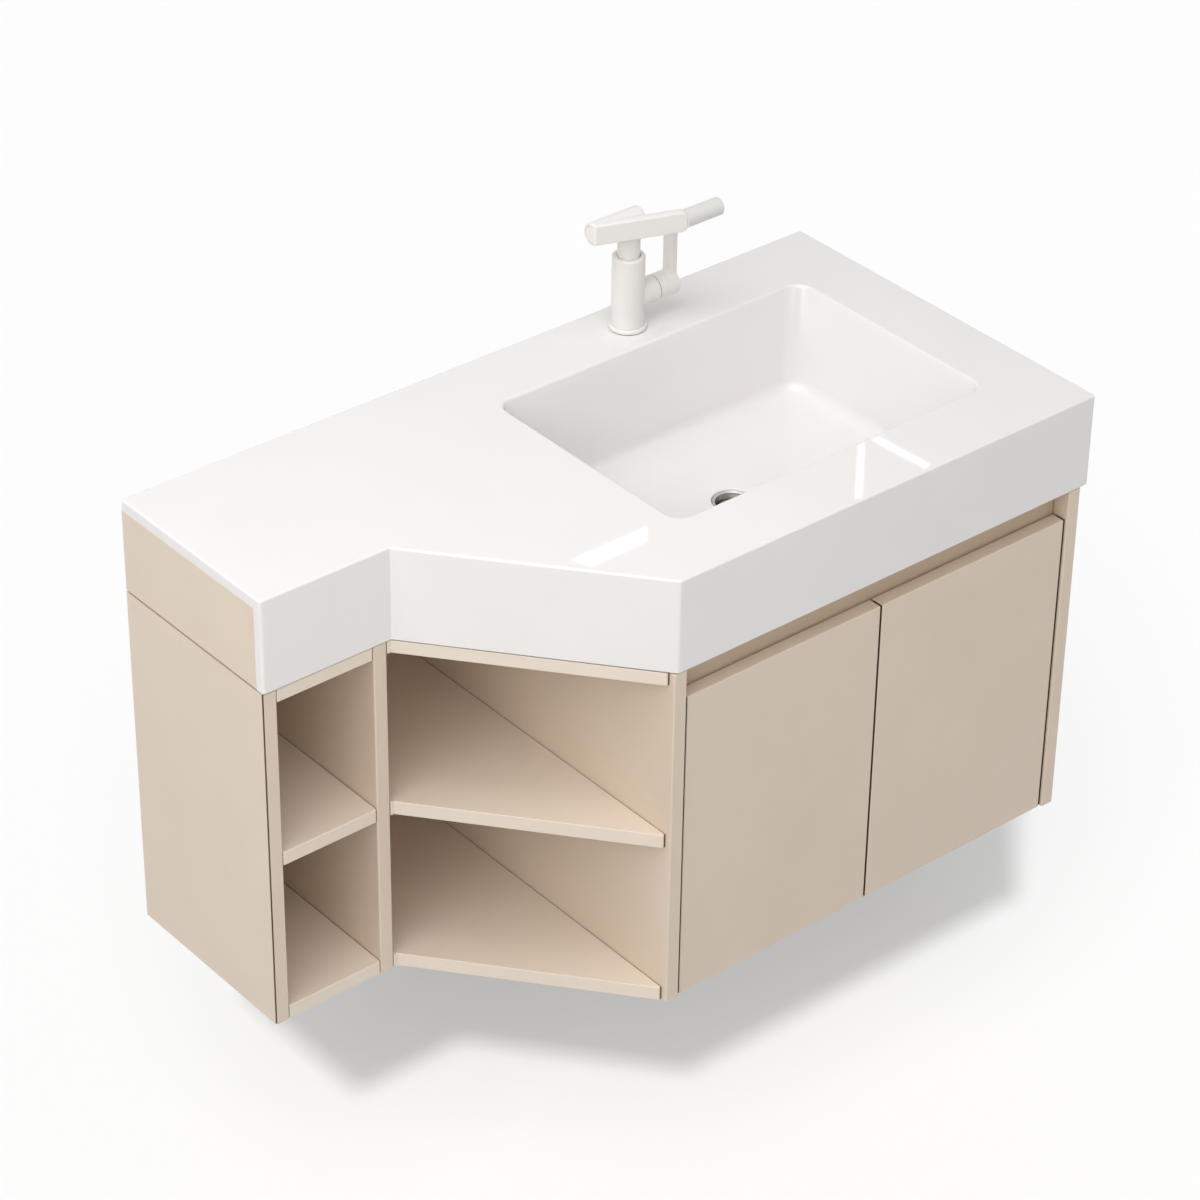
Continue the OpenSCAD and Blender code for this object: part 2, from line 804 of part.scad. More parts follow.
basin_top();
left_apron_panel();
left_side_panel();
cubby_divider();
bay_divider();
right_end_panel();
cubby_top();
cubby_shelf();
cubby_bottom();
bay_top();
bay_shelf();
bay_bottom();
cupboard_bottom();
finger_rail();
top_rail();
upper_rail();
lower_rail();
back_panel();
door(-1);  // left_door
door(1);  // right_door
hinge_cups(-1);  // left_hinge_cups
hinge_cups(1);  // right_hinge_cups
hinge_arms(-1);  // left_hinge_arms
hinge_arms(1);  // right_hinge_arms
hinge_plates();
door_bumpers();
waste_seal();
waste_body();
waste_washer();
waste_nut();
waste_tail();
waste_plug();
tap_gasket();
tap_foot();
tap_body();
tap_shank();
tap_washer();
tap_nut();
cartridge();
lever_collar();
lever();
spout_neck();
spout_seals();
spout_arm();
spout_cap();
nozzle();
aerator();
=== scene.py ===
import math

import bmesh
import bpy
import numpy as np
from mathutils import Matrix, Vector
from mathutils.geometry import tessellate_polygon


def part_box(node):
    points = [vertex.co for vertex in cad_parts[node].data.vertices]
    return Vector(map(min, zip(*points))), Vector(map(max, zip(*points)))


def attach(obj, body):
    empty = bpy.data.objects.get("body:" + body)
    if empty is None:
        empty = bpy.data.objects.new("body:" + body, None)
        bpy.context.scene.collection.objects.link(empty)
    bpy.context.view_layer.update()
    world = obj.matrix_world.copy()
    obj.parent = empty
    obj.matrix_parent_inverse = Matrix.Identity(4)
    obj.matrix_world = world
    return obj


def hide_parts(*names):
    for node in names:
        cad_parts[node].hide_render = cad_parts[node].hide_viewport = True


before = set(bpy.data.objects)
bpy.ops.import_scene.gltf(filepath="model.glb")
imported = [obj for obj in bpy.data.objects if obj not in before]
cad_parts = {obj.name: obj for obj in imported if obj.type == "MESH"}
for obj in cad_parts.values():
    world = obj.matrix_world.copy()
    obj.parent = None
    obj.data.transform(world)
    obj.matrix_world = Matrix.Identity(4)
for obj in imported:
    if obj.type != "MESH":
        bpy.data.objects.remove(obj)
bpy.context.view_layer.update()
scene = bpy.context.scene
scene.view_settings.view_transform = "Standard"

# ---- Camera ----
# A long lens stands off the left front corner of the unit, well above it, and looks
# down along the length of the top. Its sight line meets the middle of the picture.
PHOTO_WIDTH = 1200
FOCAL_LENGTH = 3984.8
CAMERA_PLACE = (-2.6479, -3.1688, 2.6747)
CAMERA_TILT, CAMERA_LEAN, CAMERA_TURN = 56.475, -0.667, -39.518

camera_data = bpy.data.cameras.new("camera")
camera_data.sensor_fit = "HORIZONTAL"
camera_data.sensor_width = 36
camera_data.lens = camera_data.sensor_width * FOCAL_LENGTH / PHOTO_WIDTH
camera = bpy.data.objects.new("camera", camera_data)
camera.location = CAMERA_PLACE
camera.rotation_euler = [math.radians(angle) for angle in (CAMERA_TILT, CAMERA_LEAN, CAMERA_TURN)]
scene.collection.objects.link(camera)
scene.camera = camera

# ---- Floor and light ----
# The unit hangs over a white studio floor. A large soft box stands high at its left,
# weak ones fill from above, behind, the right and the low left, and the pale room too.
# Two distant lamps at the left front light the floor alone, and lay the shadow on it.
FLOOR_HEIGHT = -0.82
FLOOR_HALF = 30.0
FLOOR_SHOWN = 0.78
FLOOR_BOUNCE = 0.60
FLOOR_GLOW = 0.15
ROOM_FILL = 0.41
LAMP_AIM = (-0.2, -0.25, 0.1)
DISTANT_PLACE = (-2.70, -2.80, 3.75)


class Signal:
    """A shader socket that arithmetic is written on: each sign adds one Math node."""

    def __init__(self, finish, socket):
        self.finish = finish
        self.socket = socket

    def combine(self, operation, first, second):
        return self.finish.node("ShaderNodeMath", {"operation": operation}, {0: first, 1: second})

    def __add__(self, other):
        return self.combine("ADD", self, other)

    def __radd__(self, other):
        return self.combine("ADD", other, self)

    def __mul__(self, other):
        return self.combine("MULTIPLY", self, other)

    def __rmul__(self, other):
        return self.combine("MULTIPLY", other, self)

    def larger(self, other):
        return self.combine("MAXIMUM", self, other)


class Finish:
    """The node tree of a material or a world; node() adds a node, sets it up and feeds it."""

    def __init__(self, owner):
        owner.use_nodes = True
        self.owner = owner
        self.tree = owner.node_tree
        self.tree.nodes.clear()

    def node(self, kind, settings=None, inputs=None, output=0):
        """Settings are set first, a ramp's two stops as (place, colour); inputs are values or
        Signals, by name or number."""
        node = self.tree.nodes.new(kind)
        for name, value in (settings or {}).items():
            if name == "stops":
                for stop, (place, colour) in zip(node.color_ramp.elements, value):
                    stop.position = place
                    stop.color = (*colour, 1)
            else:
                setattr(node, name, value)
        for name, value in (inputs or {}).items():
            if isinstance(value, Signal):
                self.tree.links.new(value.socket, node.inputs[name])
            else:
                node.inputs[name].default_value = value
        return Signal(self, node.outputs[output]) if node.outputs else None

    def seen_directly(self):
        """1 for what the camera sees, straight, mirrored or through glass, and 0 for light."""
        rays = [self.node("ShaderNodeLightPath", output=ray)
                for ray in ("Is Camera Ray", "Is Glossy Ray", "Is Transmission Ray")]
        return rays[0].larger(rays[1]).larger(rays[2])


room = Finish(bpy.data.worlds.new("room"))
scene.world = room.owner
room_strength = ROOM_FILL + (1 - ROOM_FILL) * room.seen_directly()
room.node("ShaderNodeOutputWorld", inputs={"Surface": room.node(
    "ShaderNodeBackground", inputs={"Color": (1, 1, 1, 1), "Strength": room_strength})})

studio_floor = Finish(bpy.data.materials.new("studio_floor"))
floor_seen = studio_floor.seen_directly()
matt = studio_floor.node("ShaderNodeBsdfDiffuse", inputs={
    "Color": FLOOR_BOUNCE + (FLOOR_SHOWN - FLOOR_BOUNCE) * floor_seen})
lift = studio_floor.node("ShaderNodeEmission", inputs={
    "Color": (1, 1, 1, 1), "Strength": FLOOR_GLOW * floor_seen})
studio_floor.node("ShaderNodeOutputMaterial", inputs={
    "Surface": studio_floor.node("ShaderNodeAddShader", inputs={0: matt, 1: lift})})

floor_mesh = bpy.data.meshes.new("floor")
floor_mesh.from_pydata(
    [(x * FLOOR_HALF, y * FLOOR_HALF, FLOOR_HEIGHT) for x, y in ((-1, -1), (1, -1), (1, 1), (-1, 1))],
    [], [(0, 1, 2, 3)])
floor_mesh.materials.append(studio_floor.owner)
floor = bpy.data.objects.new("floor", floor_mesh)
scene.collection.objects.link(floor)

floor_group = bpy.data.collections.new("floor_group")
floor_group.objects.link(floor)
all_but_floor = bpy.data.collections.new("all_but_floor")
all_but_floor.objects.link(floor)
all_but_floor.collection_objects[0].light_linking.link_state = "EXCLUDE"


def lamp(name, kind, power, size, place, lit):
    """A lamp that faces the unit and lights one group; its size is a side, or a sun's angle."""
    light = bpy.data.lights.new(name, kind)
    light.energy = power
    if kind == "SUN":
        light.angle = math.radians(size)
    else:
        light.size = size
    holder = bpy.data.objects.new(name, light)
    holder.location = place
    holder.rotation_euler = Vector(np.subtract(LAMP_AIM, place)).to_track_quat("-Z", "Y").to_euler()
    holder.light_linking.receiver_collection = lit
    scene.collection.objects.link(holder)


lamp("soft_box", "AREA", 78, 3.6, (-2.00, -1.29, 2.57), all_but_floor)
lamp("top_box", "AREA", 9, 1.2, (-0.6, -0.64, 3.25), all_but_floor)
lamp("rear_box", "AREA", 6, 1.2, (-1.24, 0.35, 2.18), all_but_floor)
lamp("right_box", "AREA", 5, 2.0, (1.65, -2.10, 1.94), all_but_floor)
lamp("low_box", "AREA", 6.6, 1.6, (-2.79, -1.74, 0.36), all_but_floor)
lamp("small_distant", "SUN", 1.85, 3, DISTANT_PLACE, floor_group)
lamp("wide_distant", "SUN", 1.05, 28, DISTANT_PLACE, floor_group)

# ---- Basin top ----
# One moulding of glazed white ware: a flat with a rectangular bowl, and an apron turned
# down along the front, round the slant and down the right end. The left end and the back
# are open, and the glaze rounds every outer edge to a small even radius.
MM = 0.001
TOP_ARRIS = 2.5 * MM
FOOT_ARRIS = 1.5 * MM
CORNER_RADIUS = 4 * MM
INNER_CORNER_RADIUS = 1.5 * MM
SLAB_THICKNESS = 14 * MM
APRON_THICKNESS = 12 * MM
APRON_HEIGHT = 120 * MM
APRON_END_CORNER = 6
SHALLOW_Y = -0.262
SLANT_START_X = -0.509
SLANT_END_X = -0.306
BOWL_WIDTH = 463 * MM
BOWL_LENGTH = 317 * MM
BOWL_BACK = 97 * MM
BOWL_DEPTH = 139 * MM
BOWL_FALL = 7 * MM
BOWL_CORNER = 20 * MM
BOWL_FILLET = 19 * MM
BOWL_DRAFT = 8 * MM
BOWL_WALL = 11 * MM
BOWL_SIDE_POINTS = 18
BOWL_CORNER_STEPS = 12
FILLET_ROWS = 11
FALL_WAYS = (0.08, 0.2, 0.35, 0.5, 0.65, 0.8, 0.92, 1.0)
RIM_ARRIS = 3.5 * MM
DRAIN_Y = -0.246
DRAIN_RADIUS = 24.4 * MM
DRAIN_LEDGE = 4 * MM
DRAIN_HOLE = 21.5 * MM
DRAIN_ARRIS = 1.5 * MM
DRAIN_WALL = 2 * MM
TAP_Y = -0.052
TAP_HOLE = 17.5 * MM
HOLE_SIDES = 48
HOLD = 0.4 * MM
WELD_DISTANCE = 0.001 * MM
SHARP_ANGLE = 35
MOTTLE_SWELLS = 9.0
SHEEN_SWELLS = 35.0

top_low, top_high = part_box("basin_top")
TOP_Z = top_high.z
SLAB_Z = TOP_Z - SLAB_THICKNESS
APRON_Z = top_low.z + BOWL_DEPTH + BOWL_FALL + BOWL_WALL - APRON_HEIGHT


def unit(vector):
    return vector / np.linalg.norm(vector)


def eased_outline(corners, radii, steps=6):
    """Walks anticlockwise round a polygon whose corners are arcs tangent to both sides.

    The arc's centre lies r inside both sides, so it starts r tan(turn / 2) before the
    corner. One more point is held just before and after it, to keep the sides flat in
    shading. A radius of 0 gives one point. Returns the points, the outward direction at
    each, along which the outline offsets, and the number of each point's corner."""
    corners = np.asarray(corners, float)
    points, outwards, labels = [], [], []
    for i, (corner, radius) in enumerate(zip(corners, radii)):
        before = unit(corner - corners[i - 1])
        after = unit(corners[(i + 1) % len(corners)] - corner)
        turn = math.atan2(before[0] * after[1] - before[1] * after[0], before @ after)
        bend = math.copysign(radius, turn)
        side = np.array([before[1], -before[0]])
        centre = corner - before * abs(bend * math.tan(turn / 2)) - bend * side
        angles = np.linspace(0, turn, steps + 1 if radius else 1)[:, None]
        outward = np.cos(angles) * side + np.sin(angles) * before
        arc = centre + bend * outward
        if radius:
            arc = np.vstack([arc[0] - HOLD * before, arc, arc[-1] + HOLD * after])
            outward = np.vstack([outward[0], outward, outward[-1]])
        points.append(arc)
        outwards.append(outward)
        labels.append(np.full(len(arc), i))
    return np.vstack(points), np.vstack(outwards), np.concatenate(labels)


def offset_loops(points, outwards, rows):
    """The outline once for each row (inset, z): moved inwards by the inset, at that height."""
    rows = np.asarray(rows, float)
    flat = points[None] - rows[:, :1, None] * outwards[None]
    heights = np.broadcast_to(rows[:, 1:2, None], (len(rows), len(points), 1))
    return np.concatenate([flat, heights], axis=2)


def arris(radius, edge_z, side, steps=4):
    """Rows of a quarter round from a level face down (side -1) or up (side 1) to the side."""
    angles = np.linspace(0, math.pi / 2, steps + 1)
    return [(radius * (1 - math.sin(a)), edge_z + side * radius * (1 - math.cos(a))) for a in angles]


class Shell:
    """Points and faces of one piece, gathered as bands between loops and flat caps."""

    def __init__(self):
        self.points = []
        self.faces = []
        self.count = 0

    def add(self, points):
        flat = np.reshape(points, (-1, 3))
        self.points.append(flat)
        self.count += len(flat)
        return self.count - len(flat) + np.arange(len(flat))

    def band(self, loops, closed=True):
        """Joins each loop to the next by quads (i, j), (i, j + 1), (i + 1, j + 1), (i + 1, j)."""
        loops = np.asarray(loops)
        ids = self.add(loops).reshape(loops.shape[:2])
        here = ids if closed else ids[:, :-1]
        ahead = np.roll(ids, -1, axis=1) if closed else ids[:, 1:]
        quads = np.stack([here[:-1], ahead[:-1], ahead[1:], here[1:]], axis=-1)
        self.faces += quads.reshape(-1, 4).tolist()

    def cap(self, outline, *holes):
        """Fills a flat outline, less its holes, with triangles between its own points."""
        ids = self.add(np.vstack([outline, *holes]))
        triangles = tessellate_polygon([[Vector(point) for point in loop] for loop in (outline, *holes)])
        self.faces += ids[np.array(triangles)].tolist()


def piece(name, shell, finish, body, slot, *nodes):
    """Welds a shell, turns its faces outwards and lets it ride on a body for its CAD nodes."""
    mesh = bpy.data.meshes.new(name)
    mesh.from_pydata(np.vstack(shell.points).tolist(), [], shell.faces)
    work = bmesh.new()
    work.from_mesh(mesh)
    bmesh.ops.remove_doubles(work, verts=work.verts, dist=WELD_DISTANCE)
    bmesh.ops.recalc_face_normals(work, faces=work.faces)
    work.to_mesh(mesh)
    work.free()
    mesh.shade_smooth()
    mesh.set_sharp_from_angle(angle=math.radians(SHARP_ANGLE))
    mesh.materials.append(finish.owner)
    thing = bpy.data.objects.new(name, mesh)
    scene.collection.objects.link(thing)
    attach(thing, body)
    if nodes:
        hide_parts(*nodes)


def mottle(finish, per_metre, detail=3.0):
    """Soft noise between 0 and 1 that stays on the piece, so many swells to the metre."""
    place = finish.node("ShaderNodeTexCoord", output="Object")
    return finish.node("ShaderNodeTexNoise", inputs={
        "Vector": place, "Scale": per_metre, "Detail": detail})


def surface(name, colours, sheen, grain, constants):
    """A coated surface: two near colours mixed by a broad mottle, a roughness that wanders
    between two values, and a fine bump whose grain is (swells per metre, height)."""
    finish = Finish(bpy.data.materials.new(name))
    stops = [(0.3, colours[0]), (0.7, colours[1])]
    ramp = finish.node("ShaderNodeValToRGB", {"stops": stops}, {"Fac": mottle(finish, MOTTLE_SWELLS)})
    rough = sheen[0] + (sheen[1] - sheen[0]) * mottle(finish, SHEEN_SWELLS)
    bump = finish.node("ShaderNodeBump", inputs={
        "Height": mottle(finish, grain[0], detail=2.0), "Strength": 1.0, "Distance": grain[1]})
    shader = finish.node("ShaderNodeBsdfPrincipled", inputs={
        "Base Color": ramp, "Roughness": rough, "Normal": bump, **constants})
    finish.node("ShaderNodeOutputMaterial", inputs={"Surface": shader})
    return finish


gloss_white = surface(
    "gloss_white", [(0.825, 0.803, 0.787), (0.840, 0.819, 0.804)],
    (0.015, 0.030), (260.0, 0.0015 * MM), {"IOR": 1.49})

top_corners = [
    (top_low.x, SHALLOW_Y + APRON_THICKNESS), (top_low.x, SHALLOW_Y), (SLANT_START_X, SHALLOW_Y),
    (SLANT_END_X, top_low.y), (top_high.x, top_low.y), (top_high.x, 0.0),
    (top_high.x - APRON_THICKNESS, 0.0), (top_low.x, 0.0)]
top_radii = [
    0, CORNER_RADIUS, INNER_CORNER_RADIUS, CORNER_RADIUS, CORNER_RADIUS, CORNER_RADIUS, 0, CORNER_RADIUS]
top_outline, top_outward, top_label = eased_outline(top_corners, top_radii)
apron_columns = int(np.flatnonzero(top_label == APRON_END_CORNER)[0]) + 1


def inner_corner(i):
    """A corner of the plan moved in by the apron's thickness, along the mitre of its sides."""
    corner = np.array(top_corners[i])
    before = unit(corner - top_corners[i - 1])
    after = unit(np.array(top_corners[i + 1]) - corner)
    mitre = np.array([before[1] + after[1], -before[0] - after[0]]) / (1 + before @ after)
    return corner - APRON_THICKNESS * mitre


def at_height(points, z):
    """Flat points lifted to a height, or to a place along the outline's own axis."""
    points = np.asarray(points, float)
    return np.column_stack([points, np.full(len(points), z)])


top_shell = Shell()
rim_to_slab = offset_loops(top_outline, top_outward, [
    (TOP_ARRIS + HOLD, TOP_Z), *arris(TOP_ARRIS, TOP_Z, -1), (0, TOP_Z - TOP_ARRIS - HOLD), (0, SLAB_Z)])
top_shell.band(rim_to_slab)
slab_to_foot = offset_loops(top_outline[:apron_columns], top_outward[:apron_columns], [
    (0, SLAB_Z), (0, APRON_Z + FOOT_ARRIS + HOLD), *arris(FOOT_ARRIS, APRON_Z, 1)[::-1]])
top_shell.band(slab_to_foot, closed=False)

inner_line = [inner_corner(i) for i in (2, 3, 4)]
inner_high = at_height(inner_line, SLAB_Z)
inner_low = at_height(inner_line, APRON_Z)
top_shell.cap(np.vstack([slab_to_foot[-1], inner_low[::-1]]))
top_shell.cap(np.vstack([slab_to_foot[:, 0], inner_low[:1], inner_high[:1]]))
top_shell.cap(np.vstack([inner_high[-1:], inner_low[-1:], slab_to_foot[::-1, -1]]))
top_shell.band(np.stack([inner_high, inner_low]), closed=False)


def bowl_levels(wall):
    """Rows (inset, corner radius, z) down the bowl: a leaning wall, then a quarter round of
    the fillet's radius to the floor. A wall thickness moves them out and down by as much."""
    floor_z = TOP_Z - BOWL_DEPTH
    start_z = floor_z + BOWL_FILLET
    lip_z = SLAB_Z if wall else TOP_Z - RIM_ARRIS - HOLD
    lean = BOWL_DRAFT * (TOP_Z - lip_z - wall) / (TOP_Z - start_z)
    rows = [(max(lean, 0) - wall, BOWL_CORNER, lip_z)]
    for a in np.linspace(0, math.pi / 2, FILLET_ROWS):
        rows.append((
            BOWL_DRAFT + BOWL_FILLET * (1 - math.cos(a)) - wall, BOWL_CORNER + BOWL_DRAFT,
            start_z - BOWL_FILLET * math.sin(a) - wall))
    return rows


def bowl_loop(inset, radius, z):
    """A level rectangle with round corners, its sides moved in from the bowl's rim.

    Points are added along each side by even steps, so that it can close to a circle."""
    x = BOWL_WIDTH / 2 - inset
    back = -BOWL_BACK - inset
    front = -BOWL_BACK - BOWL_LENGTH + inset
    corners = [(-x, front), (x, front), (x, back), (-x, back)]
    arcs = np.split(eased_outline(corners, [radius] * 4, BOWL_CORNER_STEPS)[0], 4)
    way = np.linspace(0, 1, BOWL_SIDE_POINTS + 2)[1:-1, None]
    sides = [arc[-1] + way * (arcs[(i + 1) % 4][0] - arc[-1]) for i, arc in enumerate(arcs)]
    return at_height(np.vstack([part for pair in zip(arcs, sides) for part in pair]), z)


def drain_loop(radius, z, like):
    """A level circle round the drain whose points lie in the directions of another loop's."""
    angles = np.arctan2(like[:, 1] - DRAIN_Y, like[:, 0])
    return at_height(np.column_stack([radius * np.cos(angles), DRAIN_Y + radius * np.sin(angles)]), z)


def floor_loops(edge, radius, wall):
    """Loops from the fillet's end to a circle, which fall as the square of the way between."""
    circle = drain_loop(radius, TOP_Z - BOWL_DEPTH - wall, edge)
    loops = []
    for t in FALL_WAYS:
        loop = edge + t * (circle - edge)
        loop[:, 2] -= BOWL_FALL * t * t
        loops.append(loop)
    return loops


drain_z = TOP_Z - BOWL_DEPTH - BOWL_FALL
ledge_z = drain_z - DRAIN_LEDGE
bowl = [bowl_loop(-RIM_ARRIS - HOLD, BOWL_CORNER + RIM_ARRIS + HOLD, TOP_Z)]
bowl += [bowl_loop(-inset, BOWL_CORNER + inset, z) for inset, z in arris(RIM_ARRIS, TOP_Z, -1)]
bowl += [bowl_loop(*row) for row in bowl_levels(0)]
bowl += floor_loops(bowl[-1], DRAIN_RADIUS + DRAIN_ARRIS, 0)
bowl += [
    drain_loop(DRAIN_RADIUS + inset, z, bowl[-1]) for inset, z in arris(DRAIN_ARRIS, drain_z, -1)[1:]]
bowl += [drain_loop(radius, z, bowl[-1]) for radius, z in (
    (DRAIN_RADIUS, ledge_z), (DRAIN_HOLE, ledge_z), (DRAIN_HOLE, drain_z - BOWL_WALL))]
outside = [bowl_loop(*row) for row in bowl_levels(BOWL_WALL)]
outside += floor_loops(outside[-1], DRAIN_RADIUS + DRAIN_WALL, BOWL_WALL)
top_shell.band(bowl + outside[::-1])

hole_angles = np.linspace(0, 2 * math.pi, HOLE_SIDES, endpoint=False)
hole_circle = np.column_stack([np.cos(hole_angles), np.sin(hole_angles)])
tap_circle = (0, TAP_Y) + TAP_HOLE * hole_circle
tap_rings = [at_height(tap_circle, TOP_Z), at_height(tap_circle, SLAB_Z)]
top_shell.band(tap_rings)
top_shell.cap(rim_to_slab[0], bowl[0], tap_rings[0])
top_shell.cap(
    np.vstack([slab_to_foot[0, :1], inner_high, rim_to_slab[-1, apron_columns - 1:]]),
    outside[0], tap_rings[1])
piece("basin_top_moulding", top_shell, gloss_white, "carcass", "basin", "basin_top")

# ---- Carcass boards ----
# Fibreboard cut square, its edges eased and the whole sprayed with a beige satin
# lacquer, which leaves a faint orange peel. The boards are dowelled edge to face. A
# near black core inside each level board fills the seam at each joint with a fine
# dark line of painted shade. The level boards take a paler copy of the lacquer, painted
# light, and the finger rail a deeper copy, painted shade.
BOARD_ARRIS = 1.2 * MM
EDGE_STEPS = 3
CORNER_SPARE = 1.5 * HOLD
SEAM = 1.0 * MM
TOP_SEAM = 1.5 * MM
CORE_ARRIS = 0.1 * MM
CORE_DEPTH = 0.5 * MM
CORE_SETBACK = 1.6 * MM
FRONT_SETBACK = 1.5 * MM
GAP_LENGTH = 2.1 * MM
GAP_DEPTH = 1.4 * MM
GAP_ARRIS = 0.5 * MM
GAP_SETBACK = 0.4 * MM
GAP_CORE_ARRIS = 0.2 * MM

LACQUER_SHEEN = (0.28, 0.37)
LACQUER_PEEL = (900.0, 0.008 * MM)
LACQUER_COAT = {"IOR": 1.55, "Coat Weight": 0.35, "Coat Roughness": 0.14}

beige_lacquer = surface(
    "beige_lacquer", [(0.700, 0.577, 0.456), (0.725, 0.602, 0.478)],
    LACQUER_SHEEN, LACQUER_PEEL, LACQUER_COAT)
# A lighter copy of the beige lacquer, painted light for the level boards, which face up into the light.
painted_lit_lacquer = surface(
    "painted_lit_lacquer", [(0.770, 0.662, 0.550), (0.795, 0.687, 0.575)],
    LACQUER_SHEEN, LACQUER_PEEL, LACQUER_COAT)
# A darker copy of the beige lacquer, painted shade for the finger rail set back under the top.
painted_shade_lacquer = surface(
    "painted_shade_lacquer", [(0.585, 0.455, 0.325), (0.610, 0.480, 0.347)],
    LACQUER_SHEEN, LACQUER_PEEL, LACQUER_COAT)
# Near black brown: painted shade for the dark lines in seams and gaps.
painted_gap_shade = surface(
    "painted_gap_shade", [(0.115, 0.073, 0.043), (0.160, 0.103, 0.062)],
    (0.80, 0.95), (1500.0, 0.05 * MM), {})


def dress(finish, *nodes):
    """Gives kept nodes of the frame a finish."""
    for name in nodes:
        for material_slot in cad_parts[name].material_slots:
            material_slot.material = finish.owner


def eased_prism(corners, low, high, radius, axes=(0, 1, 2), holes=(), square_ends=False):
    """An outline carried from its low end to its high end over a quarter round at each.

    The axes say which of X, Y and Z the outline's two directions and its height are.
    Holes are loops in the outline's own plane, cut through the high end's face. Square
    ends keep their edges sharp: the quarter round draws in along Y alone."""
    points, outwards, _ = eased_outline(corners, [radius + CORNER_SPARE] * len(corners), EDGE_STEPS)
    if square_ends:
        outwards = outwards * (0, 1)
    hold = radius + HOLD
    order = np.argsort(axes)
    loops = offset_loops(points, outwards, [
        (hold, high), *arris(radius, high, -1, EDGE_STEPS), (0, high - hold),
        (0, low + hold), *arris(radius, low, 1, EDGE_STEPS)[::-1], (hold, low)])[:, :, order]
    shell = Shell()
    shell.band(loops)
    shell.cap(loops[0], *[at_height(hole, high)[:, order] for hole in holes])
    shell.cap(loops[-1])
    return shell


def box_plan(node, seam=0):
    """The four corners of a node's box, seen from above, anticlockwise, less a seam each side."""
    low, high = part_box(node)
    left, right = low.x + seam, high.x - seam
    return [(left, low.y), (right, low.y), (right, high.y), (left, high.y)]


def board(node, corners, finish=beige_lacquer, seam_below=0, square_ends=False):
    """A board; where the top stands on it, a seam is left between them as well."""
    low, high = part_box(node)
    seam_above = TOP_SEAM if abs(high.z - APRON_Z) < TOP_SEAM else 0
    shell = eased_prism(
        corners, low.z + seam_below, high.z - seam_above, BOARD_ARRIS, square_ends=square_ends)
    piece(node + "_board", shell, finish, "carcass", "lacquer", node)


def seam_shade_core(node, corners):
    """A near black core inside a board, painted shade for its seams, which reaches to the uprights on
    both sides.
    """
    low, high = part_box(node)
    shell = eased_prism(corners, low.z + CORE_DEPTH, high.z - CORE_DEPTH, CORE_ARRIS)
    piece(node + "_core", shell, painted_gap_shade, "carcass", "lacquer", node)


for node in ("cubby_divider", "bay_divider", "right_end_panel", "top_rail", "back_panel"):
    board(node, box_plan(node))
# The level boards take the lighter copy of the lacquer, painted light, and the finger rail the darker
# copy, painted shade.
for node, finish in (
        ("cubby_top", painted_lit_lacquer), ("cubby_shelf", painted_lit_lacquer), ("cubby_bottom", painted_lit_lacquer),
        ("cupboard_bottom", beige_lacquer), ("finger_rail", painted_shade_lacquer)):
    board(node, box_plan(node, SEAM), finish, square_ends=True)
    # The core is painted shade, dark in the seams at both ends of the board.
    core = np.array(box_plan(node))
    core[:2, 1] += CORE_SETBACK
    core[2:, 1] -= CORE_SETBACK
    seam_shade_core(node, core)
board("left_apron_panel", box_plan("left_apron_panel"), seam_below=SEAM)

slant = unit(np.array([SLANT_END_X - SLANT_START_X, top_low.y - SHALLOW_Y]))
shelf_bend = (SLANT_START_X - FRONT_SETBACK * slant[1] / (1 + slant[0]), SHALLOW_Y + FRONT_SETBACK)
# The bay's level boards take the lighter copy of the lacquer: painted light.
for node in ("bay_top", "bay_shelf", "bay_bottom"):
    plan = box_plan(node, SEAM)
    board(node, [(plan[0][0], shelf_bend[1]), shelf_bend, *plan[1:]], painted_lit_lacquer, square_ends=True)
    # The bay board's core is painted shade in its seams.
    (left, _), (right, front), (_, back), _ = box_plan(node)
    core_bend = (shelf_bend[0], shelf_bend[1] + CORE_SETBACK)
    seam_shade_core(node, [
        (left, core_bend[1]), core_bend, (right, front + CORE_SETBACK),
        (right, back - CORE_SETBACK), (left, back - CORE_SETBACK)])

# The left side panel has a shadow gap down its front outer corner. A near black strip in it is
# painted shade, a dark line between the outer face and the front edge.
side_low, side_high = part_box("left_side_panel")
side_plan = [
    (side_high.x, side_high.y), (side_low.x, side_high.y), (side_low.x, side_low.y + GAP_LENGTH),
    (side_low.x + GAP_DEPTH, side_low.y + GAP_LENGTH), (side_low.x + GAP_DEPTH, side_low.y),
    (side_high.x, side_low.y)]
side_radii = [BOARD_ARRIS, BOARD_ARRIS, GAP_ARRIS, 0, GAP_ARRIS, BOARD_ARRIS]
side_outline, side_outward, _ = eased_outline(side_plan, side_radii, EDGE_STEPS)
side_loops = offset_loops(side_outline, side_outward, [(0, side_high.z - TOP_SEAM), (0, side_low.z)])
side_shell = Shell()
side_shell.band(side_loops)
side_shell.cap(side_loops[0])
side_shell.cap(side_loops[1])
piece("left_side_board", side_shell, beige_lacquer, "carcass", "lacquer", "left_side_panel")
# The strip in the gap is painted shade.
left, right = side_low.x + GAP_SETBACK, side_low.x + GAP_DEPTH + GAP_SETBACK
front, back = side_low.y + GAP_SETBACK, side_low.y + GAP_LENGTH + GAP_SETBACK
gap_shade_shell = eased_prism(
    [(left, front), (right, front), (right, back), (left, back)],
    side_low.z + BOARD_ARRIS, side_high.z - BOARD_ARRIS, GAP_CORE_ARRIS)
piece("left_side_gap_shade", gap_shade_shell, painted_gap_shade, "carcass", "lacquer")

dress(beige_lacquer, "upper_rail", "lower_rail")

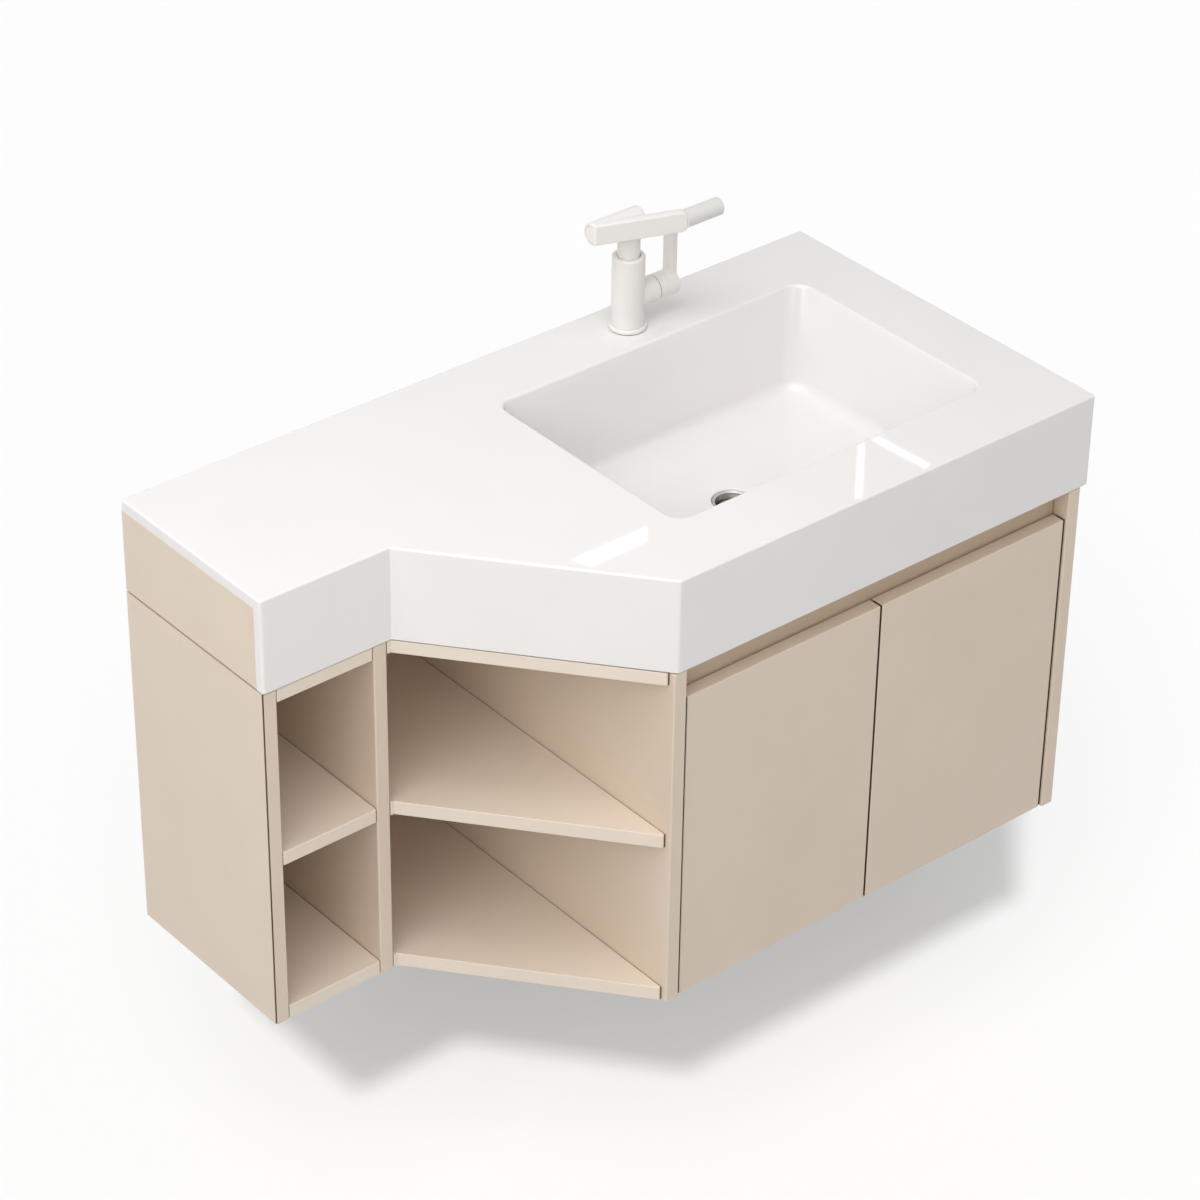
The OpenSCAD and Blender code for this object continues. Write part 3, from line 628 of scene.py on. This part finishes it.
# ---- Doors ----
# Two inset fibreboard doors in the same lacquer and with the same eased edges, each bored
# from the back for its two hinge cups. Thin dark strips of painted shade line the upright gaps.
DOOR_ARRIS = 1.2 * MM
DOOR_CLEARANCES = {"left": (1.4 * MM, 0.3 * MM), "right": (0.3 * MM, 0.3 * MM)}
CUP_BORE = 17.5 * MM
CUP_DEPTH = 11.5 * MM
HINGE_HEIGHTS = (-142.5 * MM, 112.5 * MM)
SHADE_STRIP_PROUD = 0.25 * MM
SHADE_STRIP_START = 0.9 * MM
SHADE_STRIP_END = 15 * MM
SHADE_STRIP_ARRIS = SHADE_STRIP_PROUD / 3

door_edges = {}
for side, (left_clearance, right_clearance) in DOOR_CLEARANCES.items():
    low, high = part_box(side + "_door")
    cup_low, cup_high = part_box(side + "_hinge_cups")
    cup_x = (cup_low.x + cup_high.x) / 2
    bores = [(cup_x, z) + CUP_BORE * hole_circle for z in HINGE_HEIGHTS]
    left, right = door_edges[side] = low.x + left_clearance, high.x - right_clearance
    face = [(left, low.z), (right, low.z), (right, high.z), (left, high.z)]
    shell = eased_prism(face, low.y, high.y, DOOR_ARRIS, (0, 2, 1), bores)
    for bore in bores:
        mouth, end = [at_height(bore, y)[:, [0, 2, 1]] for y in (high.y, high.y - CUP_DEPTH)]
        shell.band([mouth, end])
        shell.cap(end)
    piece(side + "_door_leaf", shell, beige_lacquer, side + "_door", "lacquer", side + "_door")

left_low, left_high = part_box("left_door")
front, back = left_low.y + SHADE_STRIP_START, left_low.y + SHADE_STRIP_END
# Each strip is painted shade: a near black sheet set just inside the gap beside a door.
for name, body, x in (
        ("left_door_outer_strip", "left_door", door_edges["left"][0]),
        ("left_door_inner_strip", "left_door", door_edges["left"][1]),
        ("right_door_inner_strip", "right_door", door_edges["right"][0]),
        ("right_door_outer_strip", "right_door", door_edges["right"][1]),
        ("bay_divider_strip", "carcass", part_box("bay_divider")[1].x),
        ("end_panel_strip", "carcass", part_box("right_end_panel")[0].x)):
    left, right = x - SHADE_STRIP_PROUD, x + SHADE_STRIP_PROUD
    shell = eased_prism(
        [(left, front), (right, front), (right, back), (left, back)],
        left_low.z + DOOR_ARRIS, left_high.z - DOOR_ARRIS, SHADE_STRIP_ARRIS)
    piece(name, shell, painted_gap_shade, body, "lacquer")

# ---- Hinges and pads ----
# Concealed hinges pressed and bolted from nickel-plated steel, and clear soft pads that
# the closed doors land on.
nickel = surface(
    "nickel", [(0.62, 0.60, 0.57), (0.68, 0.66, 0.63)],
    (0.24, 0.38), (1400.0, 0.004 * MM), {"Metallic": 1.0})
clear_pad = surface(
    "clear_pad", [(0.80, 0.82, 0.83), (0.84, 0.86, 0.87)],
    (0.28, 0.36), (1500.0, 0.003 * MM), {"Transmission Weight": 0.6, "IOR": 1.45})
dress(
    nickel, "left_hinge_cups", "right_hinge_cups", "left_hinge_arms", "right_hinge_arms", "hinge_plates")
dress(clear_pad, "door_bumpers")

# ---- Waste ----
# A turned stainless waste with a domed plug, clamped through the bowl by a nut between
# two rubber rings. Its metal is a satin grey, its rubber matt black.
waste_steel = surface(
    "waste_steel", [(0.42, 0.41, 0.39), (0.50, 0.49, 0.47)],
    (0.26, 0.40), (1800.0, 0.004 * MM), {"Metallic": 1.0})
black_rubber = surface(
    "black_rubber", [(0.018, 0.018, 0.018), (0.026, 0.026, 0.026)],
    (0.55, 0.72), (2400.0, 0.01 * MM), {})
dress(waste_steel, "waste_body", "waste_nut", "waste_tail", "waste_plug")
dress(black_rubber, "waste_seal", "waste_washer")

# ---- Tap ----
# A brass casting with a white satin powder coat: a round body with the lever's hub on
# its right, and a spout of two joined bars that turns on the neck. The coat softens
# every edge and fills it to a small radius.
TURNED_SIDES = 96
TAP_RADIUS = 19.75 * MM
TAP_MOUTH = 14.1 * MM
TAP_BORE = 11.05 * MM
TAP_FOOT_EASE = 0.6 * MM
TAP_TOP_EASE = 2.4 * MM
MOUTH_EASE = 0.4 * MM
MOUTH_DEPTH = 3 * MM
BORE_DEPTH = 38 * MM
HUB_RADIUS = 16 * MM
HUB_EASE = 0.25 * MM
COLLAR_EASE = 0.35 * MM
HUB_HEIGHT = 39 * MM
HUB_BORE = 11.1 * MM
HUB_BORE_START = 15 * MM
SPINDLE_BORE = 4.05 * MM
LEVER_EASE = 0.4 * MM
LEVER_OVERLAP = 1 * MM
STEM_WIDTH = 17 * MM
STEM_THICKNESS = 8 * MM
STEM_FILLET = 6 * MM
STEM_EASE = 0.8 * MM
STEM_END_EASE = 1.5 * MM
FOOT_EASE = 0.4 * MM
FOOT_SHOULDER = 1.5 * MM
FOOT_CLEARANCE = 0.2 * MM
RING_CLEARANCE = 0.1 * MM
RING_INSET = 0.5 * MM
LEVEL = (1, 2, 0)

satin_white = surface(
    "satin_white", [(0.80, 0.775, 0.745), (0.825, 0.80, 0.77)],
    (0.26, 0.36), (1300.0, 0.006 * MM), {"IOR": 1.5})
nozzle_white = surface(
    "nozzle_white", [(0.70, 0.685, 0.655), (0.73, 0.715, 0.685)],
    (0.34, 0.46), (1300.0, 0.010 * MM), {"IOR": 1.5})
raw_brass = surface(
    "raw_brass", [(0.72, 0.55, 0.28), (0.79, 0.62, 0.34)],
    (0.28, 0.42), (1500.0, 0.004 * MM), {"Metallic": 1.0})
pale_acetal = surface(
    "pale_acetal", [(0.62, 0.62, 0.63), (0.67, 0.67, 0.68)],
    (0.38, 0.50), (900.0, 0.006 * MM), {})
outlet_plastic = surface(
    "outlet_plastic", [(0.42, 0.42, 0.43), (0.47, 0.47, 0.48)],
    (0.40, 0.52), (900.0, 0.006 * MM), {})


def turn(shell, corners, radii, centre, axes=(0, 1, 2)):
    """Turns a closed profile (radius, height) about an axis through a centre.

    Each profile point becomes a ring (r cos a, r sin a, h); the axes say which of X, Y
    and Z these three are. Corners of the profile are rounded to their radii."""
    profile = eased_outline(corners, radii, steps=4)[0]
    profile = np.vstack([profile, profile[:1]])
    angles = np.linspace(0, 2 * math.pi, TURNED_SIDES, endpoint=False)
    radius, height = profile[:, :1], profile[:, 1:]
    rings = np.stack([radius * np.cos(angles), radius * np.sin(angles), height + 0 * angles], axis=-1)
    shell.band(rings[:, :, np.argsort(axes)] + centre)


tap_low, tap_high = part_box("tap_body")
tap_foot_z = tap_low.z - TOP_Z
tap_top_z = tap_high.z - TOP_Z
hub_end = tap_high.x
tap_centre = np.array([0, TAP_Y, TOP_Z])
hub_centre = tap_centre + (0, 0, HUB_HEIGHT)

body_shell = Shell()
turn(body_shell, [
    (0, tap_foot_z), (TAP_RADIUS, tap_foot_z), (TAP_RADIUS, tap_top_z), (TAP_MOUTH, tap_top_z),
    (TAP_MOUTH, tap_top_z - MOUTH_DEPTH), (TAP_BORE, tap_top_z - MOUTH_DEPTH),
    (TAP_BORE, tap_top_z - BORE_DEPTH), (0, tap_top_z - BORE_DEPTH)],
    [0, TAP_FOOT_EASE, TAP_TOP_EASE, MOUTH_EASE, 0, 0, 0, 0], tap_centre)
turn(body_shell, [
    (0, 0), (HUB_RADIUS, 0), (HUB_RADIUS, hub_end), (HUB_BORE, hub_end), (HUB_BORE, HUB_BORE_START),
    (0, HUB_BORE_START)],
    [0, 0, HUB_EASE, 0, 0, 0], hub_centre, LEVEL)
piece("tap_casting", body_shell, satin_white, "carcass", "tap_white", "tap_body")

collar_low, collar_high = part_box("lever_collar")
collar_shell = Shell()
turn(collar_shell, [
    (SPINDLE_BORE, collar_low.x), (HUB_RADIUS, collar_low.x), (HUB_RADIUS, collar_high.x),
    (SPINDLE_BORE, collar_high.x)],
    [0, HUB_EASE, COLLAR_EASE, 0], hub_centre, LEVEL)
piece("hub_collar", collar_shell, satin_white, "lever", "tap_white", "lever_collar")

lever_low, lever_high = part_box("lever")
stem_start = lever_high.x - STEM_THICKNESS
lever_shell = Shell()
turn(lever_shell, [
    (0, lever_low.x), (HUB_RADIUS, lever_low.x), (HUB_RADIUS, stem_start + LEVER_OVERLAP),
    (0, stem_start + LEVER_OVERLAP)],
    [0, LEVER_EASE, 0, 0], hub_centre, LEVEL)

# The stem's outline from the side: the hub's arc from one fillet round to the other,
# then a fillet, the bar's side, its rounded end and the same back down.
fillet_x = STEM_WIDTH / 2 + STEM_FILLET
fillet_z = math.sqrt((HUB_RADIUS + STEM_FILLET) ** 2 - fillet_x ** 2)
touch = math.atan2(fillet_z, fillet_x)
stem_top = lever_high.z - TOP_Z - HUB_HEIGHT
end_x, end_z = STEM_WIDTH / 2 - STEM_END_EASE, stem_top - STEM_END_EASE


def arc(centre, radius, start, end, steps):
    """Points and outward directions on an arc; a negative radius bends the other way."""
    angles = np.linspace(start, end, steps)
    outward = np.column_stack([np.cos(angles), np.sin(angles)])
    return np.asarray(centre) + abs(radius) * outward, math.copysign(1, radius) * outward


stem_parts = [
    arc((0, 0), HUB_RADIUS, math.pi - touch, 2 * math.pi + touch, steps=61),
    arc((fillet_x, fillet_z), -STEM_FILLET, math.pi + touch, math.pi, steps=9),
    arc((end_x, end_z), STEM_END_EASE, 0, math.pi / 2, steps=6),
    arc((-end_x, end_z), STEM_END_EASE, math.pi / 2, math.pi, steps=6),
    arc((-fillet_x, fillet_z), -STEM_FILLET, 0, -touch, steps=9)]
stem_points = np.vstack([points for points, _ in stem_parts])
stem_outwards = np.vstack([outwards for _, outwards in stem_parts])
stem_hold = STEM_EASE + HOLD
stem_loops = offset_loops(stem_points, stem_outwards, [
    (stem_hold, lever_high.x), *arris(STEM_EASE, lever_high.x, -1), (0, lever_high.x - stem_hold),
    (0, stem_start + stem_hold), *arris(STEM_EASE, stem_start, 1)[::-1], (stem_hold, stem_start)])
stem_loops = stem_loops[:, :, np.argsort(LEVEL)] + hub_centre
lever_shell.band(stem_loops)
lever_shell.cap(stem_loops[0])
lever_shell.cap(stem_loops[-1])
piece("lever_casting", lever_shell, satin_white, "lever", "tap_white", "lever")

foot_low, foot_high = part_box("tap_foot")
shank_low, shank_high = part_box("tap_shank")
foot_radius = (foot_high.x - foot_low.x) / 2
foot_hole = (shank_high.x - shank_low.x) / 2 + FOOT_CLEARANCE
foot_start, foot_end = foot_low.z - TOP_Z, foot_high.z - TOP_Z
foot_shell = Shell()
turn(foot_shell, [
    (foot_hole, foot_start), (foot_radius, foot_start), (foot_radius, foot_end), (foot_hole, foot_end)],
    [0, FOOT_EASE, FOOT_SHOULDER, 0], tap_centre)
piece("tap_foot_ring", foot_shell, satin_white, "carcass", "tap_white", "tap_foot")

# A dark ring closes the gap between the hub and the collar that turns on it.
ring_radius = HUB_RADIUS - RING_INSET
ring_start, ring_end = hub_end + RING_CLEARANCE, collar_low.x - RING_CLEARANCE
ring_shell = Shell()
turn(ring_shell, [
    (HUB_BORE, ring_start), (ring_radius, ring_start), (ring_radius, ring_end), (HUB_BORE, ring_end)],
    [0, 0, 0, 0], hub_centre, LEVEL)
piece("hub_dust_ring", ring_shell, black_rubber, "carcass", "rubber")

# The spout: a round barrel along the wall, and from its left end a second bar that
# slants forward, with one flat face along its front and a round end.
SPOUT_HEIGHT = 141 * MM
BARREL_RADIUS = 14 * MM
BARREL_END = 15 * MM
BARREL_EASE = 2 * MM
BARREL_SIDES = 120
BARREL_COLUMNS = 24
BAR_RADIUS = 13.5 * MM
BAR_FLAT = 6 * MM
BAR_FLAT_POINTS = 14
BAR_EASE = 1.4 * MM
BAR_FORWARD = 37 * MM
BAR_REACH = 102 * MM
BAR_FACE = 107 * MM
BAR_START = 1.2 * MM
BAR_END_INSETS = (0.3, 0.8, 1.5, 2.5, 4.0, 6.0, 8.0)
RIM_WIDTH = 3 * MM
RIM_DEPTH = 3.5 * MM
RIM_SETBACK = 0.5 * MM
CAP_GAP = 0.3 * MM
CAP_EASE = 0.5 * MM
CAP_HOLD = 1 * MM

barrel_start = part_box("spout_arm")[0].x
spout_centre = tap_centre + (0, 0, SPOUT_HEIGHT)
slant_angle = math.atan2(BAR_FORWARD, BAR_REACH)
bar_way = np.array([math.cos(slant_angle), -math.sin(slant_angle), 0])
bar_front = np.array([-math.sin(slant_angle), -math.cos(slant_angle), 0])
barrel_angles = np.linspace(0, 2 * math.pi, BARREL_SIDES, endpoint=False)


def barrel_loops(rows):
    """Rings of the barrel for rows (inset, x), cut flat where they pass the bar's flat face.

    A ring point (x, r cos a, r sin a) lies (x - start) sin s + y cos s before the bar's
    middle plane; past the limit, y is drawn back until it lies on the limit."""
    loops = []
    for inset, x in rows:
        radius = BARREL_RADIUS - inset
        limit = BAR_FLAT - RIM_SETBACK - inset
        y = radius * np.cos(barrel_angles)
        front = (-limit - (x - barrel_start) * math.sin(slant_angle)) / math.cos(slant_angle)
        loops.append(np.column_stack([x + 0 * y, np.maximum(y, front), radius * np.sin(barrel_angles)]))
    return np.array(loops) + spout_centre


def bar_end(points):
    """How far along the bar a point (u, v) of its section ends: on a ball round the end of
    its axis, r^2 - u^2 - v^2 beyond it, or sooner on the upright face of the joint."""
    bulge = np.sqrt(np.maximum(BAR_RADIUS ** 2 - (points ** 2).sum(axis=1), 0))
    face = (BAR_FACE + points[:, 0] * math.sin(slant_angle)) / math.cos(slant_angle)
    return np.minimum(math.hypot(BAR_REACH, BAR_FORWARD) + bulge, face)


arm_shell = Shell()
barrel_hold = BARREL_EASE + HOLD
barrel_columns = np.linspace(barrel_hold, BARREL_END - barrel_start - BARREL_EASE, BARREL_COLUMNS)
barrel = barrel_loops([
    (RIM_WIDTH, barrel_start + RIM_DEPTH), (RIM_WIDTH, barrel_start), (barrel_hold, barrel_start),
    *[(inset, barrel_start + along) for inset, along in arris(BARREL_EASE, 0, 1)],
    *[(0, barrel_start + along) for along in barrel_columns],
    *arris(BARREL_EASE, BARREL_END, -1)[::-1]])
arm_shell.band(barrel)
arm_shell.cap(barrel[0])
arm_shell.cap(barrel[-1])

corner_u = BAR_FLAT - BAR_EASE
corner_v = math.sqrt((BAR_RADIUS - BAR_EASE) ** 2 - corner_u ** 2)
corner_angle = math.atan2(corner_v, corner_u)
flat_v = np.linspace(-corner_v, corner_v, BAR_FLAT_POINTS)[1:-1]
section_parts = [
    arc((corner_u, corner_v), BAR_EASE, 0, corner_angle, steps=6),
    arc((0, 0), BAR_RADIUS, corner_angle, 2 * math.pi - corner_angle, steps=90),
    arc((corner_u, -corner_v), BAR_EASE, -corner_angle, 0, steps=6),
    (np.column_stack([0 * flat_v + BAR_FLAT, flat_v]), np.column_stack([0 * flat_v + 1, 0 * flat_v]))]
section = np.vstack([points for points, _ in section_parts])
section_out = np.vstack([outwards for _, outwards in section_parts])


def bar_loop(inset, along=None):
    """The bar's section moved in by an inset, at a way along it or at its far end."""
    points = section - inset * section_out
    way = bar_end(points) if along is None else points[:, 0] * math.tan(slant_angle) + along
    start = spout_centre + (barrel_start, 0, 0)
    return start + way[:, None] * bar_way + points[:, :1] * bar_front + points[:, 1:] * (0, 0, 1)


bar = [bar_loop(BAR_EASE + HOLD, BAR_START)]
bar += [bar_loop(inset, along) for inset, along in arris(BAR_EASE, BAR_START, 1)]
bar += [bar_loop(0, BAR_START + BAR_EASE + HOLD), bar_loop(0)]
bar += [bar_loop(inset * MM) for inset in BAR_END_INSETS]
arm_shell.band(bar)
arm_shell.cap(bar[0])
arm_shell.cap(bar[-1])
piece("spout_casting", arm_shell, satin_white, "spout", "tap_white", "spout_arm")

cap_shell = Shell()
cap_edge = RIM_WIDTH + CAP_GAP
cap_face = barrel_start + CAP_GAP
cap = barrel_loops([
    (cap_edge + CAP_HOLD, cap_face),
    *[(cap_edge + inset, cap_face + along) for inset, along in arris(CAP_EASE, 0, 1)],
    (cap_edge, barrel_start + RIM_DEPTH - CAP_GAP)])
cap_shell.band(cap)
cap_shell.cap(cap[0])
cap_shell.cap(cap[-1])
piece("spout_end_cap", cap_shell, satin_white, "spout", "tap_white", "spout_cap")

dress(satin_white, "spout_neck")
dress(nozzle_white, "nozzle")
dress(raw_brass, "tap_shank", "tap_nut")
dress(pale_acetal, "cartridge")
dress(outlet_plastic, "aerator")
dress(black_rubber, "tap_gasket", "tap_washer", "spout_seals")

# ---- Window strips ----
# Bright window strips stand behind the unit, seen only as mirror images in the gloss of
# the top. Each is given by the corners of its image on the top.
STRIP_WAY = 0.6
STRIP_STRENGTH = 4.0
STRIP_IMAGES = {
    "near_strip": [(0.0301, -0.4197), (0.0411, -0.4198), (-0.0405, -0.5039), (-0.0492, -0.5010)],
    "far_strip": [(0.0493, -0.4211), (0.0617, -0.4204), (0.0660, -0.5022), (0.0548, -0.5028)],
    "left_strip": [(-0.2649, -0.4025), (-0.2824, -0.4246), (-0.3612, -0.4259), (-0.3715, -0.4027)],
}

strip_light = Finish(bpy.data.materials.new("strip_light"))
strip_light.node("ShaderNodeOutputMaterial", inputs={"Surface": strip_light.node(
    "ShaderNodeEmission", inputs={"Color": (1, 1, 1, 1), "Strength": STRIP_STRENGTH})})

for name, image in STRIP_IMAGES.items():
    image = at_height(image, TOP_Z)
    sight = (image - CAMERA_PLACE) * (1, 1, -1)
    strip_mesh = bpy.data.meshes.new(name)
    strip_mesh.from_pydata((image + STRIP_WAY * sight).tolist(), [], [(0, 1, 2, 3)])
    strip_mesh.materials.append(strip_light.owner)
    strip = bpy.data.objects.new(name, strip_mesh)
    scene.collection.objects.link(strip)
    strip.visible_camera = False
    strip.visible_diffuse = False
    strip.visible_shadow = False
    strip.visible_transmission = False
